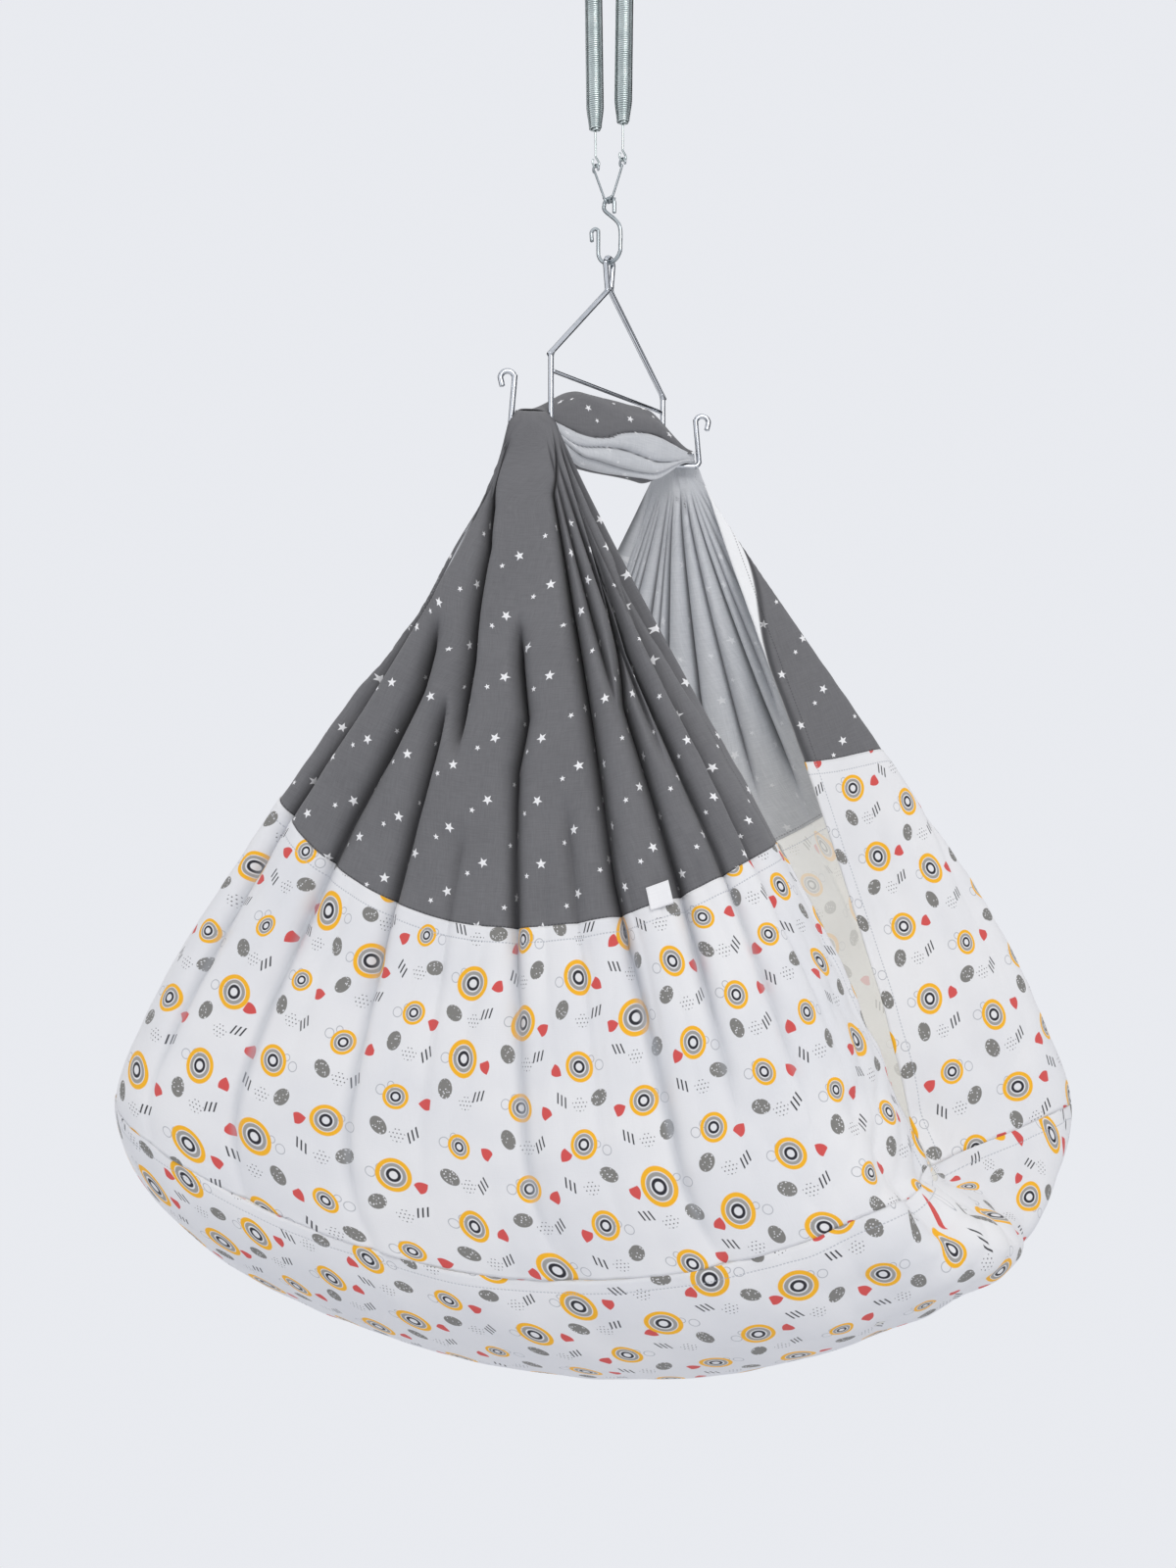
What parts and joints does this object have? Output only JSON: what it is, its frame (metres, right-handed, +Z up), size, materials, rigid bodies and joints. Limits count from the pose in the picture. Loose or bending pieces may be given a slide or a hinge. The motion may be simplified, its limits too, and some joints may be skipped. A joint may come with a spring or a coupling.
{
  "type": "hanging baby cradle",
  "caption": "Hanging baby cradle: a cloth loop gathered on a bent-wire hanger, hung on springs and S-hooks.",
  "frame": {"origin": "where a ceiling hook carries the inside of the upper S-hook's seat bend", "axes": "+Z up, +X along the bed towards its right-hand end, +Y away from the near side of the bed"},
  "size_m": [0.9304, 0.4244, 1.6879],
  "materials": {
    "zinc_wire": "zinc-plated bent wire, satin",
    "spring_wire": "zinc-plated close-wound spring wire",
    "hanger_chrome": "polished chrome-plated bent wire",
    "grey_cotton": "grey woven cotton with small white stars",
    "printed_cotton": "white woven cotton with a small print",
    "pad_cover": "quilted cotton pad cover",
    "tag_tape": "plain woven tape, blank"
  },
  "bodies": {
    "ceiling_hook": {"upper_s_hook": "zinc_wire"},
    "spring_set": {"upper_link_left": "zinc_wire", "upper_link_right": "zinc_wire", "spring_left": "spring_wire", "spring_right": "spring_wire"},
    "lower_links": {"lower_link_left": "zinc_wire", "lower_link_right": "zinc_wire"},
    "lower_hook": {"lower_s_hook": "zinc_wire"},
    "cradle": {"hanger_frame": "hanger_chrome", "hanger_crossbar": "hanger_chrome", "grey_cloth_near": "grey_cotton", "grey_cloth_far": "grey_cotton", "grey_cloth_bridge": "grey_cotton", "print_cloth_near": "printed_cotton", "print_cloth_far": "printed_cotton", "base_cloth": "printed_cotton", "sleeping_pad": "pad_cover", "side_tag": "tag_tape"}
  },
  "joints": [
    {"name": "swing", "type": "hinge", "parent": "ceiling_hook", "child": "spring_set", "pos_m": [0, 0, -0.06488], "axis": [0.9516, -0.3074, 0], "range_deg": [-20, 20]},
    {"name": "bounce", "type": "slide", "parent": "spring_set", "child": "lower_links", "axis": [0, 0, -1], "range_m": [0, 0.12], "stiffness_N_per_m": 800, "springref_m": -0.05, "deforming": ["spring_left", "spring_right"]},
    {"name": "hook_sway", "type": "hinge", "parent": "lower_links", "child": "lower_hook", "pos_m": [0, 0, -0.48619], "axis": [0.9516, -0.3074, 0], "range_deg": [-20, 20]},
    {"name": "hanger_rock", "type": "hinge", "parent": "lower_hook", "child": "cradle", "pos_m": [0, 0, -0.54797], "axis": [0.3074, 0.9516, 0], "range_deg": [-20, 20]}
  ]
}
